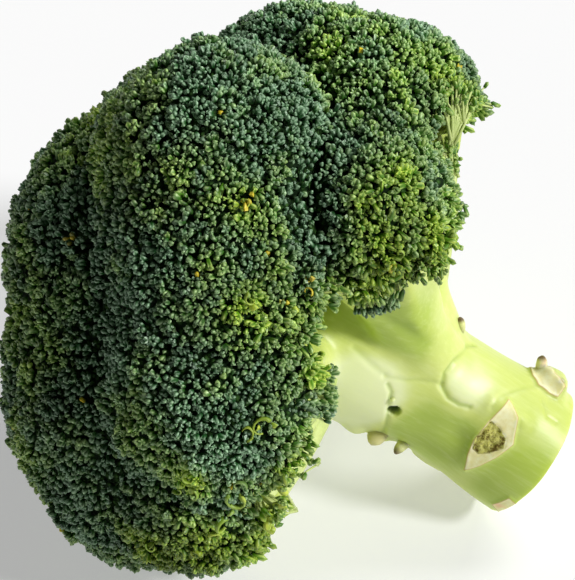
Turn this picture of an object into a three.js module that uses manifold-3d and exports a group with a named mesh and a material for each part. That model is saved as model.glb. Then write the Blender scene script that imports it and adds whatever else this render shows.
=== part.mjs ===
// A broccoli head lying on its side: a cut stalk that branches into a crown of florets covered in buds.
// Millimetres, +Z up, origin on the surface under the middle of the head.
import * as THREE from "three";
import { ConvexHull } from "three/addons/math/ConvexHull.js";
import { mergeVertices } from "three/addons/utils/BufferGeometryUtils.js";
import Module from "manifold-3d";

const wasm = await Module();
wasm.setup();

// Driving dimensions. The head is drawn standing on its stalk, with the crown's rim at height 0, and laid down last.
const STALK_LENGTH = 55;
const CUT_RADIUS = 17.2;
const WAIST_RADIUS = 15.6;
const CROWN_BASE_RADIUS = 20;
const LYING_TILT = 59;
const RIM_HEIGHT = 43.4;
const BUD_PITCH = 8;
const BUD_PEAK = 1.0;
const BUD_VALLEY = -1.1;
const BUD_UNEVEN = 0.5;
const SWELL = 0.03;
const GAP = 0.3;
const HUB_LOW = -22;
const HUB_HIGH = -8;
const HUB_SIDE = -32;
const BRANCH_ROOT_RADIUS = 8.5;
const BRANCH_NECK_RADIUS = 6.6;
const BRANCH_LIFT = 0.4;
const SIDE_LIFT = 0.12;
const SIDE_GIRTH = 1.35;
const BRANCH_FAN = 0.74;
const BRANCH_SIDES = 12;
const BRANCH_RINGS = 5;
const STALK_SIDES = 24;
const STALK_RINGS = 16;
const SCAR_DEPTH = 5;
const SCAR_FOOT = 1.25;
const SCAR_WRAP = 0.6;
const BIG = 400;

// Each floret: its name, centre, radius, how far below its centre the buds end, as a share of the radius, and the
// height at which its branch leaves the stalk. A side branch leaves low, goes out at once and is thicker.
const FLORETS = [
  { name: "floret_crown", at: [1.2, -9.5, 60.4], radius: 25.5, depth: 0.3, hub: HUB_HIGH },
  { name: "floret_crown_near", at: [-7.1, -19.0, 53.9], radius: 26.5, depth: 0.3, hub: HUB_HIGH },
  { name: "floret_crown_high", at: [15.5, 2.6, 51.2], radius: 28.5, depth: 0.3, hub: HUB_HIGH },
  { name: "floret_crown_far", at: [7.3, 27.0, 46.1], radius: 26, depth: 0.3, hub: HUB_HIGH },
  { name: "floret_near_high", at: [35.0, -13.3, 52.0], radius: 28.5, depth: 0.2, hub: HUB_HIGH },
  { name: "floret_near_mid", at: [23.4, -28.6, 39.9], radius: 29, depth: 0.1, hub: HUB_HIGH },
  { name: "floret_near_low", at: [4.1, -40.9, 26.5], radius: 28.5, depth: 0.1, hub: HUB_LOW },
  { name: "floret_near_left", at: [-23.3, -30.0, 41.1], radius: 28.5, depth: 0.2, hub: HUB_HIGH },
  { name: "floret_near_foot", at: [-37.0, -30.5, 27.5], radius: 27.5, depth: 0.1, hub: HUB_LOW },
  { name: "floret_near_hem", at: [-23.1, -40.3, 14.8], radius: 25.5, depth: 0, hub: HUB_LOW },
  { name: "floret_top", at: [28.6, 26.7, 36.7], radius: 27.5, depth: 0.1, hub: HUB_HIGH },
  { name: "floret_top_side", at: [44.8, 19.3, 22.9], radius: 26.5, depth: 0, hub: HUB_SIDE, side: true },
  { name: "floret_top_hem", at: [44.2, -12.5, 19.2], radius: 24.5, depth: 0, hub: HUB_SIDE, side: true },
  { name: "floret_far_left", at: [-21.0, 26.7, 42.3], radius: 31, depth: 0.2, hub: HUB_HIGH },
  { name: "floret_far_foot", at: [-36.2, 23.0, 27.0], radius: 28.5, depth: 0.1, hub: HUB_LOW },
  { name: "floret_far_hem", at: [-21.0, 42.0, 13.0], radius: 25.5, depth: 0, hub: HUB_LOW },
  { name: "floret_far_side", at: [5.0, 44.0, 16.0], radius: 29, depth: 0, hub: HUB_LOW },
  { name: "floret_under", at: [-37.5, -3.5, 15.0], radius: 18, depth: 0, hub: HUB_LOW },
];

// Flat scars and stubs where leaves were cut off: height on the stalk, angle round it, size across, along and out.
const SCARS = [
  { height: -40.5, angle: -66, across: 12, along: 18, out: 0.9, turn: 90 },
  { height: -48.5, angle: 24, across: 9, along: 7, out: 2.4, turn: 0 },
  { height: -44, angle: 150, across: 16, along: 9, out: 1.0, turn: -25 },
  { height: -33, angle: -165, across: 13, along: 8, out: 0.9, turn: 15 },
  { height: -29, angle: 88, across: 12, along: 8, out: 1.0, turn: 30 },
];
const NUBS = [
  { height: -23, angle: 58, radius: 2.6 },
  { height: -13, angle: -128, radius: 2.8 },
  { height: -20, angle: -140, radius: 2.5 },
  { height: -24, angle: 172, radius: 2.6 },
];

const COLOURS = {
  buds: new THREE.MeshStandardMaterial({ color: 0x2f4a2a, roughness: 0.75, metalness: 0 }),
  stalk: new THREE.MeshStandardMaterial({ color: 0xb4cc7c, roughness: 0.45, metalness: 0 }),
};

// A seeded random number between 0 and 1, so that every build is the same.
function seeded(seed) {
  let state = seed;
  return () => {
    state = (state * 1664525 + 1013904223) % 4294967296;
    return state / 4294967296;
  };
}

function toSolid(geometry) {
  const bare = geometry.clone();
  bare.deleteAttribute("normal");
  bare.deleteAttribute("uv");
  const merged = mergeVertices(bare, 1e-4);
  return new wasm.Manifold(new wasm.Mesh({
    numProp: 3,
    vertProperties: new Float32Array(merged.attributes.position.array),
    triVerts: new Uint32Array(merged.index.array),
  }));
}

function toGeometry(solid) {
  const mesh = solid.getMesh();
  const geometry = new THREE.BufferGeometry();
  geometry.setAttribute("position", new THREE.BufferAttribute(new Float32Array(mesh.vertProperties), 3));
  geometry.setIndex(new THREE.BufferAttribute(new Uint32Array(mesh.triVerts), 1));
  geometry.computeVertexNormals();
  return geometry;
}

// The largest body of a solid: what a cut leaves loose is dropped.
function largestBody(solid) {
  return solid.decompose().reduce((best, piece) => (piece.volume() > best.volume() ? piece : best));
}

// A block that fills the half of space beyond a plane through a point, on the side that the direction points to.
function beyond(point, direction) {
  const block = new THREE.BoxGeometry(BIG, BIG, BIG).translate(0, 0, BIG / 2);
  const turn = new THREE.Quaternion().setFromUnitVectors(new THREE.Vector3(0, 0, 1), direction.clone().normalize());
  block.applyQuaternion(turn).translate(point.x, point.y, point.z);
  return toSolid(block);
}

function centreOf(floret) {
  return new THREE.Vector3(...floret.at);
}

function hubOf(floret) {
  return new THREE.Vector3(0, 0, floret.hub);
}

// A floret faces away from the place where its branch leaves the stalk.
function facingOf(floret) {
  return centreOf(floret).sub(hubOf(floret)).normalize();
}

// Where the buds end and the branch begins.
function collarOf(floret) {
  return centreOf(floret).addScaledVector(facingOf(floret), -floret.depth * floret.radius);
}

// Points spread evenly over a ball in the sunflower spiral that buds grow in.
function spiralPoints(count, facing) {
  const golden = Math.PI * (3 - Math.sqrt(5));
  const turn = new THREE.Quaternion().setFromUnitVectors(new THREE.Vector3(0, 0, 1), facing);
  return Array.from({ length: count }, (_, i) => {
    const z = 1 - (2 * i + 1) / count;
    const ring = Math.sqrt(1 - z * z);
    return new THREE.Vector3(ring * Math.cos(i * golden), ring * Math.sin(i * golden), z).applyQuaternion(turn);
  });
}

// The slow rise and fall of a floret's surface.
function swell(direction, phase) {
  const wave = Math.sin(5 * direction.x + phase) + Math.sin(6 * direction.y + 2 * phase) + Math.sin(5 * direction.z);
  return 1 + (SWELL * wave) / 3;
}

// A ball of buds: a peak at every spiral point, and a valley where three buds meet.
function budBall(floret, index) {
  const random = seeded(index + 1);
  const centre = centreOf(floret);
  const count = Math.round((4 * Math.PI * floret.radius ** 2) / (0.866 * BUD_PITCH ** 2));
  const points = spiralPoints(count, facingOf(floret));
  const hull = new ConvexHull().setFromPoints(points);
  const place = (direction, height) => direction.clone()
    .multiplyScalar(floret.radius * swell(direction, index) + height)
    .add(centre);
  const peaks = new Map(points.map((point) => [point, place(point, BUD_PEAK + BUD_UNEVEN * (random() - 0.5))]));
  const valleys = new Map(hull.faces.map((face) => [face, place(face.midpoint.clone().normalize(), BUD_VALLEY)]));
  const corners = [];
  for (const face of hull.faces) {
    for (let side = 0; side < 3; side += 1) {
      const edge = face.getEdge(side);
      corners.push(peaks.get(edge.tail().point), valleys.get(edge.twin.face), valleys.get(face));
    }
  }
  return toSolid(new THREE.BufferGeometry().setFromPoints(corners));
}

// The flat face between two neighbouring florets, where their two balls cross, moved back by half the gap.
function neighbourCut(floret, other) {
  const centre = centreOf(floret);
  const across = centreOf(other).sub(centre);
  const distance = across.length();
  const reach = (distance ** 2 + floret.radius ** 2 - other.radius ** 2) / (2 * distance);
  const direction = across.normalize();
  return beyond(centre.addScaledVector(direction, reach - GAP / 2), direction);
}

// A turned shape bent along a curve, with ribs that grow along it. Its profile has one radius for each ring.
function bentLathe(curve, radii, sides, ribs = 0, ribDepth = 0) {
  const rings = radii.length - 1;
  const profile = [new THREE.Vector2(0, 0)];
  radii.forEach((radius, ring) => profile.push(new THREE.Vector2(radius, ring)));
  profile.push(new THREE.Vector2(0, rings));
  const lathe = new THREE.LatheGeometry(profile, sides);
  const frames = curve.computeFrenetFrames(rings, false);
  const position = lathe.attributes.position;
  for (let i = 0; i < position.count; i += 1) {
    const ring = Math.round(position.getY(i));
    const x = position.getX(i);
    const z = position.getZ(i);
    const rib = 1 + ribDepth * (ring / rings) ** 2 * Math.cos(ribs * Math.atan2(z, x));
    const point = curve.getPointAt(ring / rings)
      .addScaledVector(frames.binormals[ring], x * rib)
      .addScaledVector(frames.normals[ring], z * rib);
    position.setXYZ(i, point.x, point.y, point.z);
  }
  return toSolid(lathe);
}

// Radius of the bare stalk at a height below the crown.
function stalkRadius(height) {
  const along = THREE.MathUtils.clamp(1 + height / STALK_LENGTH, 0, 1.35);
  const waist = THREE.MathUtils.smoothstep(along, 0.05, 0.45);
  const base = THREE.MathUtils.smoothstep(along, 0.5, 1);
  return THREE.MathUtils.lerp(THREE.MathUtils.lerp(CUT_RADIUS, WAIST_RADIUS, waist), CROWN_BASE_RADIUS, base);
}

function mainStalk(extra) {
  const top = 14;
  const curve = new THREE.CatmullRomCurve3([
    new THREE.Vector3(-2, 0, -STALK_LENGTH),
    new THREE.Vector3(0.4, -0.6, -STALK_LENGTH * 0.6),
    new THREE.Vector3(0, 0, -STALK_LENGTH * 0.2),
    new THREE.Vector3(0, 0, top),
  ]);
  const radii = Array.from({ length: STALK_RINGS + 1 }, (_, ring) => {
    const height = -STALK_LENGTH + (ring / STALK_RINGS) * (STALK_LENGTH + top);
    return stalkRadius(height) * (ring === STALK_RINGS ? 0.8 : 1) + extra;
  });
  return bentLathe(curve, radii, STALK_SIDES, 3, 0.03);
}

// A branch leaves the stalk upwards, bends out to its floret and fans out in ribs under the buds.
function branch(floret, extra) {
  const start = hubOf(floret);
  const collar = collarOf(floret).addScaledVector(facingOf(floret), extra - GAP);
  const lift = start.distanceTo(collar) * (floret.side ? SIDE_LIFT : BRANCH_LIFT);
  const girth = floret.side ? SIDE_GIRTH : 1;
  const curve = new THREE.QuadraticBezierCurve3(start, start.clone().add(new THREE.Vector3(0, 0, lift)), collar);
  const fan = floret.radius * BRANCH_FAN;
  const radii = Array.from({ length: BRANCH_RINGS + 1 }, (_, ring) => {
    const along = ring / BRANCH_RINGS;
    const narrowed = THREE.MathUtils.smoothstep(along, 0, 0.5);
    const neck = girth * THREE.MathUtils.lerp(BRANCH_ROOT_RADIUS, BRANCH_NECK_RADIUS, narrowed);
    return THREE.MathUtils.lerp(neck, fan, THREE.MathUtils.smoothstep(along, 0.45, 1.05)) + extra;
  });
  return bentLathe(curve, radii, BRANCH_SIDES, 6, 0.16);
}

// Moves a shape that is drawn round the origin, with +Z outwards and +Y up the stalk, to its place on the stalk.
function onStalk(geometry, height, angle, radius) {
  const turn = THREE.MathUtils.degToRad(angle);
  const out = new THREE.Vector3(Math.cos(turn), Math.sin(turn), 0);
  const up = new THREE.Vector3(0, 0, 1);
  const basis = new THREE.Matrix4().makeBasis(up.clone().cross(out), up, out);
  basis.setPosition(out.x * radius, out.y * radius, height);
  return geometry.applyMatrix4(basis);
}

// A leaf scar is a three-cornered face on a low stub, wider at its foot and bent a little round the stalk.
function scar({ height, angle, across, along, out, turn }) {
  const shape = new THREE.Shape();
  shape.moveTo(-across / 2, -along / 2);
  shape.quadraticCurveTo(0, -along * 0.62, across / 2, -along / 2);
  shape.quadraticCurveTo(across * 0.36, along * 0.2, across * 0.1, along / 2);
  shape.quadraticCurveTo(0, along * 0.6, -across * 0.1, along / 2);
  shape.quadraticCurveTo(-across * 0.36, along * 0.2, -across / 2, -along / 2);
  const stub = new THREE.ExtrudeGeometry(shape, { depth: SCAR_DEPTH, bevelEnabled: false, curveSegments: 3 });
  stub.rotateZ(THREE.MathUtils.degToRad(turn));
  const radius = stalkRadius(height);
  const position = stub.attributes.position;
  for (let i = 0; i < position.count; i += 1) {
    const wide = position.getZ(i) < SCAR_DEPTH / 2 ? SCAR_FOOT : 1;
    const x = position.getX(i) * wide;
    position.setXYZ(i, x, position.getY(i) * wide, position.getZ(i) - (SCAR_WRAP * x * x) / (2 * radius));
  }
  return toSolid(onStalk(stub, height, angle, radius + out - SCAR_DEPTH));
}

function nub({ height, angle, radius }) {
  const knob = new THREE.SphereGeometry(radius, 8, 6).scale(1, 1.3, 1);
  return toSolid(onStalk(knob, height, angle, stalkRadius(height)));
}

// The stalk with all its branches. Extra makes it larger all round, for the room that the florets leave for it.
function stalkSolid(extra) {
  let solid = mainStalk(extra);
  for (const floret of FLORETS) {
    solid = solid.add(branch(floret, extra));
  }
  return solid;
}

// The head is laid down about its rim, and everything under the surface that it lies on is cut away.
const laying = new THREE.Matrix4()
  .makeTranslation(0, 0, RIM_HEIGHT)
  .multiply(new THREE.Matrix4().makeRotationY(THREE.MathUtils.degToRad(-LYING_TILT)));

function surfaceBlock() {
  const block = new THREE.BoxGeometry(BIG, BIG, BIG).translate(0, 0, -BIG / 2);
  return toSolid(block.applyMatrix4(laying.clone().invert()));
}

function stalkMesh(surface) {
  let solid = stalkSolid(0);
  for (const row of SCARS) {
    solid = solid.add(scar(row));
  }
  for (const row of NUBS) {
    solid = solid.add(nub(row));
  }
  const mesh = new THREE.Mesh(toGeometry(largestBody(solid.subtract(surface))), COLOURS.stalk);
  mesh.name = "stalk";
  return mesh;
}

function floretMesh(floret, index, room, surface) {
  let solid = budBall(floret, index);
  for (const other of FLORETS) {
    const near = centreOf(other).distanceTo(centreOf(floret)) < floret.radius + other.radius;
    if (other !== floret && near) {
      solid = solid.subtract(neighbourCut(floret, other));
    }
  }
  solid = solid.subtract(beyond(collarOf(floret), facingOf(floret).negate()));
  solid = largestBody(solid.subtract(room).subtract(surface));
  const mesh = new THREE.Mesh(toGeometry(solid), COLOURS.buds);
  mesh.name = floret.name;
  return mesh;
}

function broccoliHead() {
  const surface = surfaceBlock();
  const room = stalkSolid(GAP);
  const head = new THREE.Group();
  head.add(stalkMesh(surface));
  FLORETS.forEach((floret, index) => head.add(floretMesh(floret, index, room, surface)));
  head.applyMatrix4(laying);
  const lying = new THREE.Group();
  lying.add(head);
  const box = new THREE.Box3().setFromObject(lying, true);
  const middle = box.getCenter(new THREE.Vector3());
  head.position.x -= middle.x;
  head.position.y -= middle.y;
  return lying;
}

export default broccoliHead();
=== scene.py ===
# The broccoli head's looks: a fine piece of buds for each floret, thin stems and branches under them, and
# the stalk with its scars and folds.
import math

import bmesh
import bpy
import numpy as np
from mathutils import Matrix, Vector, noise


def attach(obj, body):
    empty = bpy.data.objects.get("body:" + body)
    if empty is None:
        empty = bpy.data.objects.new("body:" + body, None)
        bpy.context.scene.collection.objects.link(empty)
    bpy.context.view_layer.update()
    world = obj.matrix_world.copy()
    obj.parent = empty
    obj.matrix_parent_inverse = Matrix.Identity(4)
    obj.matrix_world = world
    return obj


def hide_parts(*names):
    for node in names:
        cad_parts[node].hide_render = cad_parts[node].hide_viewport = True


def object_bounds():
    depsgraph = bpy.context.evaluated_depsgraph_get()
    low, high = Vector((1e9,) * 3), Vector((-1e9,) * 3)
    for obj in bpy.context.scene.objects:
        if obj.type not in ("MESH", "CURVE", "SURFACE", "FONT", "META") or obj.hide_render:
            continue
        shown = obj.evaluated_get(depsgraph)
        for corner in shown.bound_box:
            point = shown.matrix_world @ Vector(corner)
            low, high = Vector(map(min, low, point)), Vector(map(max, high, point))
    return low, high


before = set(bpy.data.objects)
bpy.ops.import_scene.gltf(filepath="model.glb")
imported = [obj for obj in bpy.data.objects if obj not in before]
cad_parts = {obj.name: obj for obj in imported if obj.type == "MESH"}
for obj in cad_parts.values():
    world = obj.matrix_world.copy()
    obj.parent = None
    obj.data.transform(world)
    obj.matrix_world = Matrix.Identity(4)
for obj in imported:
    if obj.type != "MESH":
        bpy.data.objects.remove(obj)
cad_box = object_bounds()

# Millimetres in the script's own numbers; every mesh is written in metres.
MM = 0.001
SEED = 11

# The head's own frame: the middle of the crown's rim, from the frame's box, and how far it is laid over.
LYING_TILT = 59
RIM_HEIGHT = 43.4
RIM_TO_STALK_END = 56.52
RIM_TO_NEAR_SIDE = 70.2
rim = Vector((cad_box[1][0] / MM - RIM_TO_STALK_END, cad_box[0][1] / MM + RIM_TO_NEAR_SIDE, RIM_HEIGHT))
laid = Matrix.Translation(rim) @ Matrix.Rotation(math.radians(-LYING_TILT), 4, "Y")
turned = np.array(laid.to_3x3())

# Florets as in the frame: the node's name, its centre, radius, how deep its buds go, where its branch leaves
# the stalk, and the lobe of the crown that it belongs to. Florets of one lobe run into each other.
HUB_LOW = -22
HUB_HIGH = -8
HUB_SIDE = -32
FLORETS = {
    "floret_crown": ((1.2, -9.5, 60.4), 25.5, 0.3, HUB_HIGH, "left"),
    "floret_crown_near": ((-7.1, -19.0, 53.9), 26.5, 0.3, HUB_HIGH, "left"),
    "floret_crown_high": ((15.5, 2.6, 51.2), 28.5, 0.3, HUB_HIGH, "middle"),
    "floret_crown_far": ((7.3, 27.0, 46.1), 26, 0.3, HUB_HIGH, "far"),
    "floret_near_high": ((35.0, -13.3, 52.0), 28.5, 0.2, HUB_HIGH, "middle"),
    "floret_near_mid": ((23.4, -28.6, 39.9), 29, 0.1, HUB_HIGH, "middle"),
    "floret_near_low": ((4.1, -40.9, 26.5), 28.5, 0.1, HUB_LOW, "middle"),
    "floret_near_left": ((-23.3, -30.0, 41.1), 28.5, 0.2, HUB_HIGH, "left"),
    "floret_near_foot": ((-37.0, -30.5, 27.5), 27.5, 0.1, HUB_LOW, "left"),
    "floret_near_hem": ((-23.1, -40.3, 14.8), 25.5, 0, HUB_LOW, "middle"),
    "floret_top": ((28.6, 26.7, 36.7), 27.5, 0.1, HUB_HIGH, "right"),
    "floret_top_side": ((44.8, 19.3, 22.9), 26.5, 0, HUB_SIDE, "right"),
    "floret_top_hem": ((44.2, -12.5, 19.2), 24.5, 0, HUB_SIDE, "right"),
    "floret_far_left": ((-21.0, 26.7, 42.3), 31, 0.2, HUB_HIGH, "far"),
    "floret_far_foot": ((-36.2, 23.0, 27.0), 28.5, 0.1, HUB_LOW, "far"),
    "floret_far_hem": ((-21.0, 42.0, 13.0), 25.5, 0, HUB_LOW, "far"),
    "floret_far_side": ((5.0, 44.0, 16.0), 29, 0, HUB_LOW, "far"),
    "floret_under": ((-37.5, -3.5, 15.0), 18, 0, HUB_LOW, "left"),
}

# How far a floret's ball swells in waves, as a share of its radius.
SWELL = 0.03

# How far two florets run together where they meet: of one lobe, of the two lobes side by side and any others,
# and the most that a floret takes from all its neighbours.
RUN_IN_LOBE = 11
RUN_BESIDE = 5
RUN_APART = 2.5
RUN_MOST = 5

# Buds sit in clumps, and clumps in clusters, with a dark crease around each cluster. A pitch is how far one
# is from the next, UNEVEN is how far one stands above another, and FAN is how far the outer ones lean out.
CLUSTER_PITCH = 7.5
CLUSTER_CREASE = 2.4
CLUSTER_RISE = 1.7
CLUSTER_LEVEL = 0.7
CLUSTER_UNEVEN = 0.7
CLUSTER_FAN = 1.3
CLUMP_PITCH = 3.3
CLUMP_PULL = 0.16
CLUMP_UNEVEN = 0.4
CLUMP_DOME = 1.8
CLUMP_FAN = 0.8
CLUMP_SIZES = 0.17
GROUP_JITTER = 0.22
GROUP_WEIGHT = 0.12
BUD_PITCH = 1.22
BUD_RADIUS = 0.68
BUD_LENGTH = 1.6
BUD_SIZES = 0.18
BUD_LENGTHS = (0.85, 1.2)
BUD_WIDTHS = (0.85, 1.1)
BUD_JITTER = 0.24
BUD_LEAN = 0.32
BUD_SINK = 1.2
BUD_UNEVEN = 0.4
ROUND_SHARE = 0.55

# Buds about to open, more of them where the crown is lime green.
OPEN_SHARE = 0.12
OPEN_LEAST = 0.3
OPEN_BY_LIME = 1.6
OPEN_RADIUS = 0.86
OPEN_LENGTH = 1.1

# The edge where the buds end: how far they wrap under it, how ragged it is, and how the last ones droop.
RIM_WRAP = 3.2
RIM_WRAPS = (0.2, 1)
RIM_RAGGED = 1.2
RIM_BAND = 7
RIM_DROOP = 0.6
RIM_LONGER = 0.3
BARE_EDGE = (0.25, 0.6)

# How lime green a bud is: slow patches over the crown, as their size, start and amount, less a level, then
# the zones below, its cluster, its clump, the rim and a share of its own. Limer buds are a little bigger.
LIME_PATCHES = [(26, 3.1, 1.0), (9, 7.7, 0.5)]
LIME_LEVEL = 0.62
LIME_BY_ZONE = 1.25
LIME_BY_CLUSTER = 0.18
LIME_BY_CLUMP = 0.12
LIME_AT_RIM = 0.3
LIME_UNEVEN = 0.12
LIME_BIGGER = 0.15

# Where a bud is more lime than this, some stand out longer and askew.
LONG_ABOVE = 0.6
LONG_SHARE = 0.3
LONG_LEAN = 0.3
LONG_LENGTHS = (1.2, 1.5)

# How pale a bud is, which the zones of bloom and painted light below also set, and how yellow those are that
# have turned, at the spots below and by chance.
TONE_LEVEL = 0.5
TONE_BY_CLUSTER = 0.15
TONE_UNEVEN = 0.25
RIPE_EDGE = (0.15, 1)
RIPE_AMOUNTS = (0.4, 1)
RIPE_SHARE = 0.0015

# Stems under the outer buds, the thin branches that they leave, and how a floret's branch leaves the stalk.
# Where the buds hang down further than HANG_COVERS, they hide the thin branches, which are left out.
STEMS_SHOW_ABOVE = 0.15
STEMS_SHOW_DEPTH = 0.15
STEM_RADIUS = 0.42
STEM_WIDTHS = (0.8, 1.2)
STEM_TONES = (0.3, 0.9)
STEM_END = 0.8
STEM_ROOT_DEPTH = 3.5
STEM_ROOT_OUT = 0.66
STEM_LIME = 0.9
BRANCHLET_RADIUS = 1.7
BRANCHLET_BOW = 1.1
BRANCHLET_FOOT = 1.3
BRANCHLET_TAPER = 0.55
BRANCHLET_OVERLAP = 1.5
BRANCHLET_STARTS = (0.42, 0.6)
BRANCHLET_WIDTHS = (0.75, 1.2)
BRANCHLET_TONES = (0.5, 0.9)
BRANCH_END = 0.95
BRANCH_LIFT = 0.4
BRANCH_LIFT_SIDE = 0.12
HANG_COVERS = 0.5

# Single stems: how far apart their roots are, and how their buds lean, spread and stand.
SPRAY_ROOTS = 1.2
SPRAY_LEAN = 0.35
SPRAY_SPREAD = 0.55
SPRAY_BUDS = (0.6, 0.75)
SPRAY_BUD_LENGTH = 1.7

# Curled bracts and little leaves: how they lean, how deep they sit and how big they are.
CURL_LEAN = 0.35
CURL_SINK = 0.3
CURL_SHAPE = np.array((1, 0.85, 1.3))
LEAF_LEAN = 0.4
LEAF_SINK = 1.8
LEAF_SIZE = 0.75

# The body under the buds: how far under, how much further where the edge is bare, and where it is as pale as
# the stems.
CORE_DEPTH = 2.5
CORE_BARE_DEPTH = 5
CORE_OUTER_SHARE = 0.93
CORE_STEMS_BELOW = 2.5
CORE_STEMS_BARE = 0.5
CORE_FLOOR_GAP = 0.3

# The stalk: the squares of its even skin, the radius that scars are laid out on, the height where the plain
# upper part begins and how far it laps under, and how often the skin is smoothed before and after it is made
# finer. At the cut, a stub is added and cut off again, which leaves a sharp edge with a band inside it.
STALK_VOXEL = 1.0
STALK_RADIUS = 16.6
STALK_SPLIT = 26
STALK_OVERLAP = 3
SMOOTH_BEFORE = 7
SMOOTH_AFTER = 3
CUT_STUB = 5
CUT_HEIGHT = -52
CUT_BAND = 0.5

# The bare stalk's skin: how near its middle line and how low it lies, and its slow ripples, as their height,
# how many go round and how they twist, with the depths below the rim between which they begin.
SKIN_REACH = (13, 22)
SKIN_TOP = -20
RIPPLES = [(0.25, 3, 0.12), (0.12, 7, -0.08)]
RIPPLES_BEGIN = (8, 16)

# Scars: their soft edge, and the height and width of the lip round them. Then the grain in their middle, the
# soft edge of a hole, and how far round all of these the skin is finer.
SCAR_EDGE = (-0.25, 0.45)
LIP_HEIGHT = 0.3
LIP_WIDTH = 0.5
ROUGH_EDGE = (-0.5, 0.8)
ROUGH_GRAIN = 1.1
ROUGH_HEIGHT = 0.6
HOLE_EDGE = (-0.2, 0.45)
DETAIL_REACH = 1.6
FOLD_MARGIN = 1.2
FOLD_REACH = 1.5
HOLE_MARGIN = 2

# How pale the skin is, how much of that is lost towards the branches, and how strong and how wide the painted
# shade along the folds is.
PALE_LEVEL = 0.45
PALE_LOST = 0.2
PALE_FADE = (-16, -2)
FOLD_SHADE = 1.3
FOLD_SHADE_WIDTH = 1.1

# The lumps on the small nubs: how high, as a share of the radius, and how wide in mm.
NUB_LUMPS = 0.15
NUB_LUMP_SIZE = 1.3

# Folds in the stalk's skin: how deep, how wide, and the places along each. The finish paints shade along
# them, darker for deeper folds.
FOLDS = [
    (0.5, 0.7, [(15.6, 2.6, -26.8), (16.1, 0.2, -24.7), (16.5, -7.3, -22.4), (14.2, -10.2, -21.6),
                 (11.5, -11.7, -22.8), (10.1, -12.5, -25.8), (10.2, -12.6, -28.7), (10.8, -12.1, -31.3)]),
    (0.3, 0.7, [(8.8, -16.2, -9.5), (9.3, -15.4, -11.6), (9.7, -14.4, -14.3), (10.6, -13.2, -16.5),
                (11.4, -12.0, -19.8), (11.8, -11.4, -22.5)]),
    (0.3, 0.8, [(13.7, -11.3, -35.8), (15.0, -8.5, -36.7), (15.5, -4.6, -39.5), (15.9, -1.3, -42.5),
                 (15.6, 2.3, -45.9)]),
    (0.45, 0.6, [(7.4, -16.4, -11.2), (6.1, -16.5, -13.0), (3.6, -17.1, -14.2), (0.9, -17.2, -15.7),
                (-3.5, -16.6, -17.8), (-7.8, -14.8, -19.2)]),
    (0.6, 2.2, [(27.6, -19.3, 2.3), (25.0, -16.8, -1.9), (23.7, -15.3, -6.0), (22.3, -14.0, -9.7),
                (20.6, -12.4, -13.0)]),
    (0.3, 1.0, [(11.3, -15.8, 0.7), (10.2, -16.3, -4.5), (9.2, -16.0, -9.3)]),
    (0.2, 0.6, [(15.7, -2.1, -47.4), (15.0, -5.0, -50.1), (14.8, -4.9, -52.8)]),
]

# Where the stalk swells out or is dented: the middle, the reach and how much.
STALK_SWELLS = [
    ((13.2, -9.6, -28.6), 5.5, 0.8),
    ((16.2, -1.5, -32.0), 6, 0.5),
    ((26.6, -11.3, -9.8), 5, 0.5),
    ((4.0, -15.8, -33.2), 3.4, -0.9),
    ((-1.0, -16.0, -28.6), 6, -0.4),
    ((8, 14, -30), 7, 0.6),
    ((-12, 10, -26), 8, 0.7),
]

# Where the skin is paler, or with a minus sign greener: the middle, the reach and how much. Some are painted
# light: a painted highlight on the swelling, and painted shade in the hollows near the big scar and in the
# valley between the two branches.
STALK_TINTS_AND_PAINTED_LIGHT = [
    ((-1.6, -19.5, -4.1), 10, 1.6),
    ((5.0, -18.0, -8.5), 7, 0.9),
    # A painted highlight on the swelling.
    ((13.2, -9.6, -28.6), 5.5, 0.5),
    ((0.7, -16.9, -53.6), 11, -0.9),
    # Painted shade in the two hollows near the big scar, here and on the next line.
    ((-2.0, -16.0, -27.0), 9, -0.8),
    ((4.0, -15.8, -33.2), 4.0, -0.8),
    # Painted shade in the valley between the two branches, here and on the next line.
    ((23.0, -16.2, -2.0), 7, -1.0),
    ((19.0, -13.0, -12.5), 5, -0.3),
    ((8.5, 12.5, -48.0), 9, -0.4),
]

# Small deep holes: the middle, the radius and how deep. Their insides are painted dark green as shade.
HOLES = [
    ((1.6, -16.9, -16.9), 1.55, 3.6),
    ((-9, 14.5, -24), 1.2, 2.5),
]

# Flat scars where leaves were cut off: how far out each stands, and its corners, as the angle round the stalk
# and the height.
SCARS = [
    (0.35, [(-27, -38.7), (-36, -42.8), (-56, -45.4), (-72, -43.8), (-86, -41.8), (-97, -39.6), (-84, -37.6),
            (-71, -36.7), (-54, -36.8), (-41, -37.5)]),
    (0.7, [(28, -43.0), (22, -46), (17, -48.4), (12, -51.4), (5, -51), (3.5, -48.6), (7, -45.4),
           (14, -43.4)]),
    (0.15, [(-99, -52.8), (-101, -55.5), (-126, -55.5), (-118, -51.5)]),
    (0.1, [(177, -43), (171, -47), (130, -41.5), (152, -40.2)]),
    (0.1, [(-190, -35), (-145, -38), (-155, -31.5), (-168, -30.5)]),
    (0.1, [(64, -29), (72, -34.5), (105, -28), (84, -25)]),
]
# The rough middles of three scars: how deep each is, and its corners.
ROUGH_PATCHES = [
    (0.55, [(-48, -37.3), (-50, -40.4), (-55, -43.2), (-63, -44.1), (-73, -41.9), (-79, -39.7), (-78, -37.7),
            (-70, -36.7), (-61, -36.8)]),
    (0.3, [(170, -43.5), (150, -44), (145, -42), (158, -41.5)]),
    (0.3, [(-172, -34.5), (-158, -35), (-160, -32.5)]),
]

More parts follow.
